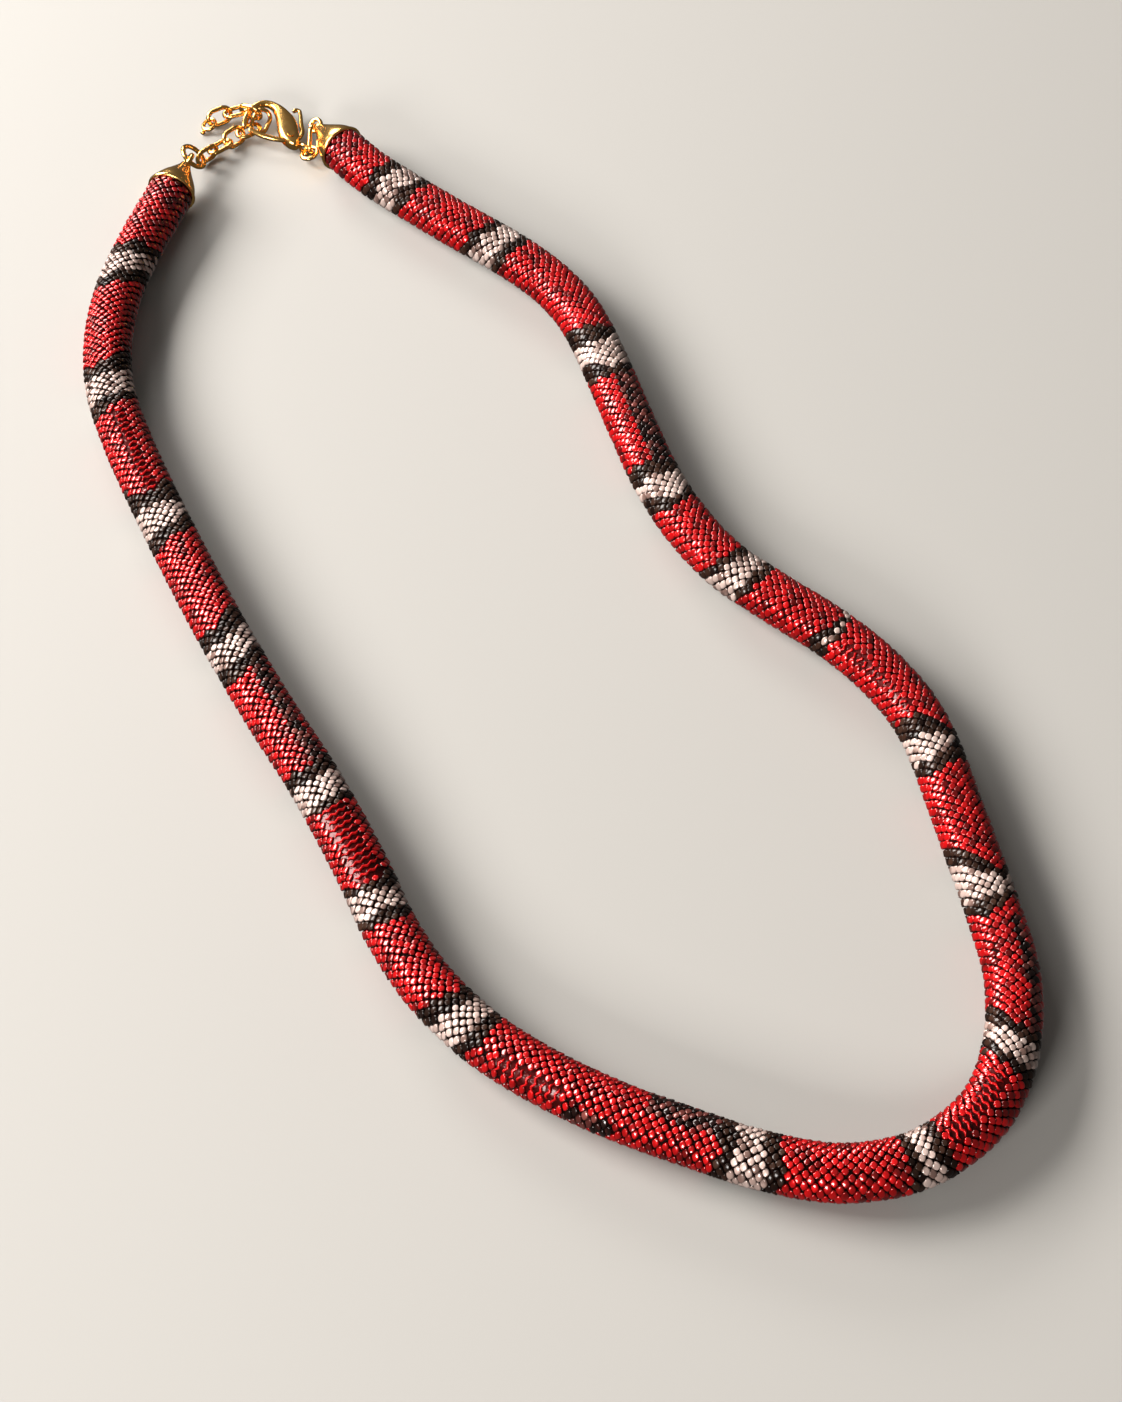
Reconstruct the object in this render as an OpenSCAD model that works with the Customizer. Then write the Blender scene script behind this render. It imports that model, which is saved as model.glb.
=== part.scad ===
// Necklace lying flat: a scaled round rope with a gold lobster clasp and an extender chain.
// Millimetres, +Z up, the clasp at the back. The outline's centre is the origin, on the floor.

/* [Rope] */
// rope diameter over the scales
rope_d = 8.2; // [7:0.1:9]
// sides of the rope's cross-section
rope_sides = 16; // [12:2:20]
// steps between two route points
rope_steps = 2; // [2:1:3]

/* [End caps] */
// outer radius of the flared rim
cap_rim_r = 4.3; // [4:0.1:5]
// radius of the socket that the rope is glued in
socket_r = 3.75; // [3:0.05:4.5]
// depth of the socket's straight wall
socket_depth = 2; // [1.5:0.1:2.5]
// depth of the hollow bell inside
hollow_depth = 4.8; // [4:0.1:5.5]
// length of the bell from the rim to its tip
cap_len = 7.3; // [6:0.1:9]
// ring radius of the eye soldered on the tip
eye_r = 1.1; // [0.9:0.05:1.3]
// wire diameter of the left cap's eye
eye_left_wire = 0.8; // [0.6:0.05:1]
// wire diameter of the right cap's eye
eye_right_wire = 0.75; // [0.6:0.05:1]

/* [Chain] */
// wire diameter of a chain link
link_wire = 0.8; // [0.6:0.05:1]
// bend radius of a link's ends, to the wire's centre
link_r = 1.375; // [1.2:0.025:1.6]
// half of a link's straight side
link_half = 0.8; // [0.5:0.1:1.2]
// ring radius of the big left jump ring
big_ring_r = 2.25; // [2:0.05:2.6]
// wire diameter of the big left jump ring
big_ring_wire = 0.85; // [0.6:0.05:1]
// ring radius of the extender's end ring
end_ring_r = 1.15; // [1:0.05:1.5]
// wire diameter of the end ring and of the clasp's jump ring
fine_wire = 0.7; // [0.5:0.05:0.9]
// radius of the ball on the end ring
end_ball_r = 0.45; // [0.4:0.05:0.8]
// ring radius of the jump ring at the clasp
small_ring_r = 1.45; // [1.2:0.05:1.8]
// bend radius of the oval link at the right cap
oval_r = 1.3; // [1:0.05:1.6]
// half of the oval link's straight side
oval_half = 1.15; // [0.8:0.05:1.5]
// wire diameter of the oval link
oval_wire = 0.75; // [0.6:0.05:1]

/* [Clasp] */
// half of the body's thickness
body_r = 1.45; // [1.2:0.05:1.8]
// radius of the hook's limb at its tip
hook_tip_r = 0.5; // [0.4:0.02:0.6]
// radius of the hook's limb along its bend
hook_r = 0.58; // [0.5:0.02:0.7]
// height of the slot for the lever
slot_h = 1.3; // [1.2:0.05:1.6]
// thickness of the lever's hub
hub_h = 1.1; // [1:0.05:1.4]
// radius of the lever's hub
hub_r = 1.0; // [0.9:0.05:1.2]
// radius of the rivet
pin_r = 0.42; // [0.3:0.02:0.5]
// running clearance between the rivet and the hub
pin_gap = 0.05; // [0.02:0.01:0.1]
// wire radius of the gate
gate_r = 0.48; // [0.4:0.02:0.6]
// wire radius of the thumb arm
thumb_r = 0.42; // [0.35:0.01:0.5]
// ring radius of the tail eye
tail_eye_r = 1.0; // [0.8:0.05:1.2]
// wire diameter of the tail eye
tail_eye_wire = 0.65; // [0.5:0.05:0.8]

/* [Hidden] */

gold = [0.83, 0.62, 0.27];
red = [0.5, 0.04, 0.06];

rope_r = rope_d/2;
rope_in_r = socket_r - 0.15;
rope_z = rope_r;
cap_z = 4.35;

// moves everything so that the outline's centre is the origin
home = [-0.25, 0.85, 0.02];

// rope route from inside the left cap to inside the right cap
rope_route = [
    [-60.7, 81.8, cap_z], [-61.3, 80, cap_z], [-65.4, 67.5, rope_z], [-68, 56, rope_z],
    [-68.5, 45, rope_z], [-67, 34.5, rope_z], [-63.5, 24.5, rope_z], [-59.3, 14.8, rope_z],
    [-52.5, 0.5, rope_z], [-45.2, -14, rope_z], [-37.5, -28, rope_z], [-29.2, -42, rope_z],
    [-22, -56, rope_z], [-17.5, -66, rope_z], [-12, -75, rope_z], [-4.5, -83, rope_z],
    [4, -89, rope_z], [13.5, -94, rope_z], [23.5, -98, rope_z], [33.5, -101.5, rope_z],
    [44, -103.2, rope_z], [54.5, -101, rope_z], [63, -94.5, rope_z], [67.5, -85.5, rope_z],
    [69, -74.5, rope_z], [67.5, -64, rope_z], [64.2, -48.5, rope_z], [60.5, -33, rope_z],
    [55.5, -23.5, rope_z], [48.5, -15.5, rope_z], [40, -8.5, rope_z], [32, -1.5, rope_z],
    [26, 7, rope_z], [21.5, 16.5, rope_z], [18, 27, rope_z], [11.5, 47, rope_z],
    [6.5, 56.5, rope_z], [-1, 64.5, rope_z], [-13.3, 74.3, rope_z], [-25.5, 84.5, rope_z],
    [-31.7, 91, cap_z], [-33, 92.5, cap_z]];

// rim centre and heading of each cap, with the roll of its eye
cap_left_at = [-61.2, 80.2, cap_z];
cap_left_turn = 74;
eye_left_roll = 130;
eye_left_out = 8.5;
cap_right_at = [-31.9, 91.2, cap_z];
cap_right_turn = 130;
eye_right_roll = 138;
eye_right_out = 7.9;

// bell's outline: distance from the rim, outer radius
bell = [[0, 4.3], [0.5, 4.3], [1.1, 4.15], [2, 4.05], [2.8, 3.85], [3.5, 3.5],
    [4.2, 3.1], [5, 2.55], [5.6, 2.05], [6.2, 1.5], [6.7, 1.1], [7.1, 0.8]];

// chain links: position, then roll, pitch and heading
link_places = [
    [[-56.2, 92.4, 1.95], [-86, 5, 46]],
    [[-54.1, 94.8, 1.6], [-18, -4, 37]],
    [[-51.8, 97.2, 1.65], [55, 5, 49]],
    [[-49.4, 99.3, 1.3], [-7, 1, 38]],
    [[-47.3, 101.1, 1.8], [35, -30, 61]],
    [[-49.1, 102.6, 2.7], [83, 17, 148]],
    [[-51.9, 103.7, 1.8], [13, 10, 190]],
    [[-54.8, 102.5, 1.75], [111, 0, 210]]];
big_ring_place = [[-58.2, 90.3, 3.4], [-141, 19, 77]];
end_ring_place = [[-56.6, 101.1, 1.1], [10, 19, 231]];
small_ring_place = [[-38.1, 93.2, 1.5], [13, -9, -62]];
oval_place = [[-37.3, 95.2, 2.8], [-117, -38, 86]];

// the clasp's own frame: +X runs from the tail eye to the hook's bend
clasp_place = [[-40.7, 95.6, 1.6], [0, -7, 142]];
pivot = [1.3, -0.2, 0];
tail_eye_x = -2.1;

// hook limb, gate and thumb arm in the clasp's frame, with the wire radius at each point
hook_route = [
    [6.4, -3.4, 0], [7.5, -3.9, 0], [8.6, -4, 0], [9.6, -3.8, 0], [10.4, -3.3, 0], [10.9, -2.5, 0],
    [11.1, -1.5, 0], [11.1, -0.4, 0], [10.8, 0.6, 0], [10.4, 1.5, 0], [9.9, 2.4, 0], [9.3, 3.1, 0]];
hook_radii = [1.3, 1.1, 0.85, 0.72, 0.64, 0.6, hook_r, hook_r, hook_r, hook_r, 0.54, hook_tip_r];
edge_r = 0.5;
// corners of the body's two lumps: x, y, half thickness
body_tail = [[-0.4, -0.4, 1.2], [-0.4, 0.5, 1.2], [1.1, 1.3, body_r], [2.1, 1.6, body_r], [3.9, -0.1, body_r],
    [4.7, -4.3, body_r], [2.5, -2.8, body_r], [0.5, -0.9, body_r]];
body_neck = [[3.9, -0.1, body_r], [6.2, -2.4, body_r], [8.2, -3.5, 0.95], [8.2, -4.2, 0.95], [6.5, -4.4, body_r],
    [4.7, -4.3, body_r]];
gate_route = [
    [1.3, -0.2, 0], [2, 0.6, 0], [2.8, 1.3, 0], [3.5, 1.75, 0], [4.2, 2.1, 0], [5.2, 2.5, 0],
    [6.2, 2.8, 0], [7.2, 3, 0], [8, 3.1, 0]];
thumb_route = [
    [1.3, -0.2, 0], [0.6, -1, 0], [0.5, -1.9, 0], [0.9, -2.8, 0], [1.6, -3.5, 0], [2.3, -4.1, 0],
    [3.2, -5, 0], [4, -5.8, 0], [4.6, -6.3, 0], [5.2, -6.2, 0], [5.3, -5.6, 0]];

function mid(p, k, t) =
    let(a = p[max(k - 1, 0)], b = p[k], c = p[k + 1], d = p[min(k + 2, len(p) - 1)])
    0.5*(2*b + (c - a)*t + (2*a - 5*b + 4*c - d)*t*t + (3*b - a - 3*c + d)*t*t*t);
function fine(p, n) = [for (k = [0:len(p) - 2], i = [0:n - 1]) mid(p, k, i/n), p[len(p) - 1]];
function way(p, i) = let(v = p[min(i + 1, len(p) - 1)] - p[max(i - 1, 0)]) v/norm(v);
function side(v) = let(s = cross([0, 0, 1], v)) s/norm(s);
function ring(c, v, r, n) =
    let(s = side(v), u = cross(v, s))
    [for (j = [0:n - 1]) c + r*cos(360*j/n - 90)*s + r*sin(360*j/n - 90)*u];

// a tube through rings centred on points p, square to the directions v, with radii r
module skin(p, v, r, n) {
    m = len(p);
    points = [for (i = [0:m - 1]) each ring(p[i], v[i], r[i], n)];
    walls = [for (i = [0:m - 2], j = [0:n - 1])
        [i*n + j, (i + 1)*n + j, (i + 1)*n + (j + 1)%n, i*n + (j + 1)%n]];
    polyhedron(points = points, faces = concat(
        [[for (j = [0:n - 1]) j]], walls, [[for (j = [n - 1:-1:0]) (m - 1)*n + j]]), convexity = 10);
}

// a tube along points p with radii r
module tube(p, r, n) {
    skin(p, [for (i = [0:len(p) - 1]) way(p, i)], r, n);
}

// a tube with its ends rounded off by two shrinking rings each
module round_tube(p, r, n) {
    last = len(p) - 1;
    v0 = way(p, 0);
    v1 = way(p, last);
    ends0 = [p[0] - v0*r[0]*0.8, p[0] - v0*r[0]*0.5];
    ends1 = [p[last] + v1*r[last]*0.5, p[last] + v1*r[last]*0.8];
    tube(concat(ends0, p, ends1),
        concat([r[0]*0.55, r[0]*0.85], r, [r[last]*0.85, r[last]*0.55]), n);
}

module put(place) {
    translate(place[0] + home)
        rotate(place[1])
        children();
}

module torus(r, wire) {
    rotate_extrude($fn = 64)
        translate([r, 0])
        circle(d = wire, $fn = 32);
}

module half_torus(r, wire) {
    rotate_extrude(angle = 180, $fn = 64)
        translate([r, 0])
        circle(d = wire, $fn = 32);
}

module oval_link(half, r, wire) {
    for (turn = [0, 180])
        rotate([0, 0, turn]) {
            translate([half, 0, 0])
                rotate([0, 0, -90])
                half_torus(r, wire);
            translate([-half, r, 0])
                rotate([0, 90, 0])
                cylinder(d = wire, h = 2*half, $fn = 32);
        }
}

// rings at the rims are square to their cap
function heading(a) = [cos(a), sin(a), 0];
function rope_way(p, i) =
    i < 3 ? -heading(cap_left_turn)
    : i > len(p) - 4 ? heading(cap_right_turn)
    : way(p, i);

// the rope's ends step down to fit the sockets
module scaled_rope() {
    route = fine([for (p = rope_route) p + home], rope_steps);
    rim_in = rope_steps;
    rim_out = len(route) - 1 - rope_steps;
    spine = concat([route[0], route[rim_in]], [for (i = [rim_in:rim_out]) route[i]],
        [route[rim_out], route[len(route) - 1]]);
    last = len(spine) - 1;
    color(red)
        skin(spine, [for (i = [0:last]) rope_way(spine, i)],
            [for (i = [0:last]) i < 2 || i > last - 2 ? rope_in_r : rope_r], rope_sides);
}

module cap(at, turn, eye_out, eye_roll, wire) {
    hollow_tip_r = 1.7;
    color(gold)
        translate(at + home)
        rotate([0, 0, turn])
        union() {
            rotate([0, 90, 0])
                difference() {
                    rotate_extrude($fn = 64)
                        polygon(concat([[0, 0]], [for (b = bell) [b[1]*cap_rim_r/4.3, b[0]]],
                            [[0.7, cap_len], [0, cap_len]]));
                    translate([0, 0, -1])
                        cylinder(r = socket_r, h = socket_depth + 1, $fn = 64);
                    translate([0, 0, socket_depth])
                        cylinder(r1 = socket_r, r2 = hollow_tip_r, h = hollow_depth - socket_depth, $fn = 64);
                }
            translate([eye_out, 0, 0])
                rotate([eye_roll, 0, 0])
                torus(eye_r, wire);
        }
}

module cap_left() {
    cap(cap_left_at, cap_left_turn, eye_left_out, eye_left_roll, eye_left_wire);
}

module cap_right() {
    cap(cap_right_at, cap_right_turn, eye_right_out, eye_right_roll, eye_right_wire);
}

module jump_ring_left() {
    color(gold)
        put(big_ring_place)
        torus(big_ring_r, big_ring_wire);
}

module chain_link(k) {
    color(gold)
        put(link_places[k - 1])
        oval_link(link_half, link_r, link_wire);
}

module chain_end_ring() {
    ball_out = end_ring_r + 0.7;
    color(gold)
        put(end_ring_place) {
            torus(end_ring_r, fine_wire);
            translate([ball_out, 0, 0])
                sphere(r = end_ball_r, $fn = 32);
        }
}

// the clasp's body is a flat rounded casting, with a slot through its middle for the lever
module clasp_body() {
    color(gold)
        put(clasp_place)
        difference() {
            union() {
                slab(body_tail);
                slab(body_neck);
                round_tube(fine(hook_route, 3), fine(hook_radii, 3), 16);
                translate([tail_eye_x, 0, 0])
                    rotate([90, 0, 0])
                    torus(tail_eye_r, tail_eye_wire);
            }
            lever_slot();
            translate(pivot - [0, 0, body_r + 1])
                cylinder(r = pin_r, h = 2*body_r + 2, $fn = 32);
        }
}

// a flat lump with rounded edges round corners given as x, y and half thickness
module slab(corners) {
    hull()
        for (c = corners, up = [-1, 1])
            translate([c[0], c[1], up*(c[2] - edge_r)])
            sphere(r = edge_r, $fn = 20);
}

// room for the hub, for the gate's swing and for the thumb arm
module lever_slot() {
    hub_room = hub_r + 0.2;
    gate_room = [[0.7, 0.8], [2.6, 2.7], [5.5, 3.4], [5.5, 0.7], [2.2, -0.9]];
    thumb_room = [[2, -0.8], [1.5, -1.3], [1.25, -2.2], [1.2, -3.4], [-0.8, -3.4], [-0.9, -0.9], [0.2, -0.2]];
    translate([0, 0, -slot_h/2])
        linear_extrude(slot_h)
        union() {
            translate([pivot[0], pivot[1]])
                circle(r = hub_room, $fn = 32);
            polygon(gate_room);
            polygon(thumb_room);
        }
}

module clasp_pin() {
    head_r = 0.62;
    head_h = 0.15;
    color(gold)
        put(clasp_place)
        translate(pivot) {
            translate([0, 0, -body_r - 0.05])
                cylinder(r = pin_r, h = 2*body_r + 0.1, $fn = 32);
            for (side = [-1, 1])
                translate([0, 0, side*(body_r + 0.05) - (side < 0 ? head_h : 0)])
                cylinder(r = head_r, h = head_h, $fn = 32);
        }
}

module clasp_lever() {
    color(gold)
        put(clasp_place)
        difference() {
            union() {
                round_tube(fine(gate_route, 2), [for (k = [0:16]) gate_r], 12);
                round_tube(fine(thumb_route, 2), [for (k = [0:20]) thumb_r], 12);
                translate(pivot - [0, 0, hub_h/2])
                    cylinder(r = hub_r, h = hub_h, $fn = 32);
            }
            translate(pivot - [0, 0, hub_h])
                cylinder(r = pin_r + pin_gap, h = 2*hub_h, $fn = 32);
        }
}

module jump_ring_clasp() {
    color(gold)
        put(small_ring_place)
        torus(small_ring_r, fine_wire);
}

module oval_link_right() {
    color(gold)
        put(oval_place)
        oval_link(oval_half, oval_r, oval_wire);
}

scaled_rope();
cap_left();
cap_right();
jump_ring_left();
chain_link(1);  // chain_link_1
chain_link(2);  // chain_link_2
chain_link(3);  // chain_link_3
chain_link(4);  // chain_link_4
chain_link(5);  // chain_link_5
chain_link(6);  // chain_link_6
chain_link(7);  // chain_link_7
chain_link(8);  // chain_link_8
chain_end_ring();
clasp_body();
clasp_pin();
clasp_lever();
jump_ring_clasp();
oval_link_right();
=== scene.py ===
import math

import bmesh
import bpy
import numpy as np
from mathutils import Euler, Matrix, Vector


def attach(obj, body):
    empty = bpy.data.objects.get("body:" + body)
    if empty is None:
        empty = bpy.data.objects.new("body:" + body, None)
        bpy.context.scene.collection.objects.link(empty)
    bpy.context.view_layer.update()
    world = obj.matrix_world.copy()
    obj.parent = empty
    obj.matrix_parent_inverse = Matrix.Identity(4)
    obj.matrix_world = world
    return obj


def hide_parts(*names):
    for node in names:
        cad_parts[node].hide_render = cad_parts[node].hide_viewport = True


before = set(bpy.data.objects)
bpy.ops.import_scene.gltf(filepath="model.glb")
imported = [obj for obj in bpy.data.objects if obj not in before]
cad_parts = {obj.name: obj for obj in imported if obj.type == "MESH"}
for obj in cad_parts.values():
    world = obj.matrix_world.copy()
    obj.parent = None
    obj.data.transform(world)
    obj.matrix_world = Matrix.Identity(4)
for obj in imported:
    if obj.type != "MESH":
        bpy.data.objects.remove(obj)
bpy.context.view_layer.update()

# Camera.
# Looks down at the necklace from the front, 55 degrees above the floor and about 0.39 m away,
# through a normal lens.
scene = bpy.context.scene
mm = 0.001
view_angle = math.radians(55)
camera_data = bpy.data.cameras.new("camera")
camera_data.sensor_fit = "VERTICAL"
camera_data.sensor_height = 24.0
camera_data.lens = 42.66
camera_data.clip_start = 0.01
camera_data.clip_end = 20.0
camera = bpy.data.objects.new("camera", camera_data)
camera.location = Vector((6.31, -239.52, 308.32)) * mm
camera.rotation_euler = (math.pi / 2 - view_angle, 0, 0)
scene.collection.objects.link(camera)
scene.camera = camera

# Floor and studio light.
# A plain pale floor under a soft studio: a large softbox low on the left, a smaller one at the
# front left and at the back, and a dim sky that is lightest overhead.
floor_half = 4
floor_mesh = bpy.data.meshes.new("floor")
floor_mesh.from_pydata([(-floor_half, -floor_half, 0), (floor_half, -floor_half, 0),
                        (floor_half, floor_half, 0), (-floor_half, floor_half, 0)],
                       [], [(0, 1, 2, 3)])
floor = bpy.data.objects.new("floor", floor_mesh)
scene.collection.objects.link(floor)
floor_paint = bpy.data.materials.new("pale floor")
floor_paint.use_nodes = True
floor_shader = floor_paint.node_tree.nodes["Principled BSDF"]
floor_shader.inputs["Base Color"].default_value = (0.43, 0.42, 0.40, 1)
floor_shader.inputs["Roughness"].default_value = 0.7
floor_shader.inputs["Specular IOR Level"].default_value = 0.2
floor_mesh.materials.append(floor_paint)
# The scales and the gold are dark and polished, so the pale floor throws no light back on them.
floor.visible_glossy = False
floor.visible_diffuse = False

# Each softbox has its place in metres, its width and height, and its power in watts, and points at
# the middle of the necklace.
warm_white = (1, 0.96, 0.92)
for name, at, spread, power in (
        ("softbox left", (-0.80, 0.24, 0.50), (0.60, 0.46), 22),
        ("softbox front", (-0.50, -0.82, 0.42), (0.38, 0.24), 9),
        ("softbox back", (-0.42, 0.86, 0.40), (0.42, 0.22), 6)):
    light = bpy.data.lights.new(name, "AREA")
    light.shape = "RECTANGLE"
    light.size, light.size_y = spread
    light.energy = power
    light.color = warm_white
    softbox = bpy.data.objects.new(name, light)
    softbox.location = at
    softbox.rotation_euler = (-Vector(at)).to_track_quat("-Z", "Y").to_euler()
    scene.collection.objects.link(softbox)

world = bpy.data.worlds.new("studio")
world.use_nodes = True
sky_nodes, sky_links = world.node_tree.nodes, world.node_tree.links
sky_way = sky_nodes.new("ShaderNodeTexCoord")
sky_side = sky_nodes.new("ShaderNodeVectorMath")
sky_side.operation = "DOT_PRODUCT"
sky_side.inputs[1].default_value = (-0.45, 0.2, 0.87)
sky_ramp = sky_nodes.new("ShaderNodeValToRGB")
sky_ramp.color_ramp.elements[0].position = 0.1
sky_ramp.color_ramp.elements[0].color = (0.085, 0.081, 0.076, 1)
sky_ramp.color_ramp.elements[1].position = 0.95
sky_ramp.color_ramp.elements[1].color = (0.17, 0.163, 0.154, 1)
sky_links.new(sky_way.outputs["Generated"], sky_side.inputs[0])
sky_links.new(sky_side.outputs["Value"], sky_ramp.inputs["Fac"])
sky_links.new(sky_ramp.outputs["Color"], sky_nodes["Background"].inputs["Color"])
scene.world = world
scene.view_settings.view_transform = "Standard"

# Rope core.
# The soft round cord that the scales are fixed on, glued into both end caps. It follows the curve
# of the CAD rope, so its route repeats the route's points, in millimetres.
# The shift that brings the middle of the necklace's outline to the origin.
home = np.array([-0.25, 0.85, 0.02])
route = np.array([
    (-60.7, 81.8, 4.35), (-61.3, 80, 4.35), (-65.4, 67.5, 4.1), (-68, 56, 4.1), (-68.5, 45, 4.1),
    (-67, 34.5, 4.1), (-63.5, 24.5, 4.1), (-59.3, 14.8, 4.1), (-52.5, 0.5, 4.1), (-45.2, -14, 4.1),
    (-37.5, -28, 4.1), (-29.2, -42, 4.1), (-22, -56, 4.1), (-17.5, -66, 4.1), (-12, -75, 4.1),
    (-4.5, -83, 4.1), (4, -89, 4.1), (13.5, -94, 4.1), (23.5, -98, 4.1), (33.5, -101.5, 4.1),
    (44, -103.2, 4.1), (54.5, -101, 4.1), (63, -94.5, 4.1), (67.5, -85.5, 4.1), (69, -74.5, 4.1),
    (67.5, -64, 4.1), (64.2, -48.5, 4.1), (60.5, -33, 4.1), (55.5, -23.5, 4.1), (48.5, -15.5, 4.1),
    (40, -8.5, 4.1), (32, -1.5, 4.1), (26, 7, 4.1), (21.5, 16.5, 4.1), (18, 27, 4.1),
    (11.5, 47, 4.1), (6.5, 56.5, 4.1), (-1, 64.5, 4.1), (-13.3, 74.3, 4.1), (-25.5, 84.5, 4.1),
    (-31.7, 91, 4.35), (-33, 92.5, 4.35)]) + home
route_steps = 24


def smooth_route(points, steps):
    """A smooth curve through the points, in this many steps from each to the next."""
    before = np.vstack([points[:1], points[:-2], points[-2:-1]])[: len(points) - 1]
    start, end = points[:-1], points[1:]
    after = np.vstack([points[2:], points[-1:]])
    rows = []
    for t in np.arange(steps) / steps:
        rows.append(0.5 * (2 * start + (end - before) * t
                    + (2 * before - 5 * start + 4 * end - after) * t ** 2
                    + (3 * start - before - 3 * end + after) * t ** 3))
    curve = np.stack(rows, 1).reshape(-1, points.shape[1])
    return np.vstack([curve, points[-1:]])


line = smooth_route(route, route_steps)
line_way = np.gradient(line, axis=0)
line_way /= np.linalg.norm(line_way, axis=1)[:, None]
line_length = np.concatenate([[0], np.cumsum(np.linalg.norm(np.diff(line, axis=0), axis=1))])
rope_length = line_length[-1]
rope_radius = 4.1
scale_height = 0.6
core_radius = rope_radius - scale_height


def rope_place(along, angle, radius):
    """Points on the rope by length, angle and radius, with the ways outwards and along it there."""
    centre = np.stack([np.interp(along, line_length, line[:, k]) for k in range(3)], -1)
    way = np.stack([np.interp(along, line_length, line_way[:, k]) for k in range(3)], -1)
    way /= np.linalg.norm(way, axis=-1)[..., None]
    inner = np.stack([-way[..., 1], way[..., 0], np.zeros_like(along)], -1)
    inner /= np.linalg.norm(inner, axis=-1)[..., None]
    up = np.cross(way, inner)
    out = inner * np.cos(angle)[..., None] + up * np.sin(angle)[..., None]
    return centre + out * radius[..., None], out, way


def ring_sweep(rows):
    """Points and quads of the skin over closed rings that have as many points each."""
    count, sides = rows.shape[:2]
    ring, side = np.meshgrid(np.arange(count - 1), np.arange(sides), indexing="ij")
    side_next = (side + 1) % sides
    quads = np.stack([ring * sides + side, ring * sides + side_next,
                      (ring + 1) * sides + side_next, (ring + 1) * sides + side], -1)
    return rows.reshape(-1, 3), quads.reshape(-1, 4)


def mesh_piece(name, points, faces, material, body, cad_nodes):
    """A smooth piece in place of CAD nodes, from points in millimetres and equal-sided faces."""
    mesh = bpy.data.meshes.new(name)
    faces = np.asarray(faces)
    mesh.vertices.add(len(points))
    mesh.vertices.foreach_set("co", (points * mm).astype(np.float32).ravel())
    mesh.loops.add(faces.size)
    mesh.loops.foreach_set("vertex_index", faces.ravel().astype(np.int32))
    mesh.polygons.add(len(faces))
    loop_starts = np.arange(0, faces.size, faces.shape[1], dtype=np.int32)
    mesh.polygons.foreach_set("loop_start", loop_starts)
    mesh.polygons.foreach_set("use_smooth", np.ones(len(faces), bool))
    mesh.update(calc_edges=True)
    mesh.validate()
    mesh.materials.append(material)
    piece = bpy.data.objects.new(name, mesh)
    scene.collection.objects.link(piece)
    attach(piece, body)
    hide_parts(*cad_nodes)
    return piece


# The core fills the caps' sockets, and elsewhere it hides the scales' skirts.
cap_reach = 2.0
socket_radius = 3.55
core_proud = 0.02
core_rings, core_sides = 640, 40
core_along = np.repeat(np.linspace(0, rope_length, core_rings)[:, None], core_sides, 1)
core_turn = np.repeat(np.arange(core_sides)[None] * 2 * np.pi / core_sides, core_rings, 0)
in_socket = (core_along < cap_reach) | (core_along > rope_length - cap_reach)
core_reach = np.where(in_socket, socket_radius, core_radius + core_proud)
core_points, core_faces = ring_sweep(rope_place(core_along, core_turn, core_reach)[0])

core_paint = bpy.data.materials.new("rope core")
core_paint.use_nodes = True
core_nodes, core_links = core_paint.node_tree.nodes, core_paint.node_tree.links
core_shader = core_nodes["Principled BSDF"]
core_shader.inputs["Roughness"].default_value = 0.7
core_shader.inputs["Specular IOR Level"].default_value = 0.04
core_place = core_nodes.new("ShaderNodeTexCoord")
core_noise = core_nodes.new("ShaderNodeTexNoise")
core_noise.inputs["Scale"].default_value = 1500
core_ramp = core_nodes.new("ShaderNodeValToRGB")
# Nearly black: the cord's own dark colour, and painted shade in the gaps between the scales.
core_ramp.color_ramp.elements[0].color = (0.004, 0.0015, 0.001, 1)
core_ramp.color_ramp.elements[1].color = (0.016, 0.004, 0.003, 1)
core_links.new(core_place.outputs["Object"], core_noise.inputs["Vector"])
core_links.new(core_noise.outputs["Fac"], core_ramp.inputs["Fac"])
core_links.new(core_ramp.outputs["Color"], core_shader.inputs["Base Color"])
mesh_piece("rope_core", core_points, core_faces, core_paint, "necklace", ["scaled_rope"])

# Scales.
# Small domed scales in glossy lacquer, fixed on the core in staggered rows, twelve round the rope.
# Each lifts a little at its tail and sits slightly unevenly. They are deep red, with white bands
# edged in black.
scales_round = 12
row_step = 0.7
dice = np.random.RandomState(11)
rows = np.arange(cap_reach - row_step, rope_length - cap_reach + row_step, row_step)
row_of, column_of = np.meshgrid(np.arange(len(rows)), np.arange(scales_round), indexing="ij")
scale_along = rows[row_of].ravel()
even_turn = ((column_of + 0.5 * (row_of % 2)) * 2 * np.pi / scales_round).ravel()
scale_count = len(scale_along)
# They are closest along the top of the rope and wider down its sides, as on a snake.
true_turn = np.linspace(-np.pi, 3 * np.pi, 721)
closer_above, wider_beside = 0.2, 0.25
packed_turn = (true_turn - closer_above * np.cos(true_turn)
               - wider_beside / 2 * np.sin(2 * true_turn))
scale_turn = np.interp(even_turn, packed_turn, true_turn)
scale_pitch = 2 * np.pi / scales_round / (
    1 + closer_above * np.sin(scale_turn) - wider_beside * np.cos(2 * scale_turn))

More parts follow.
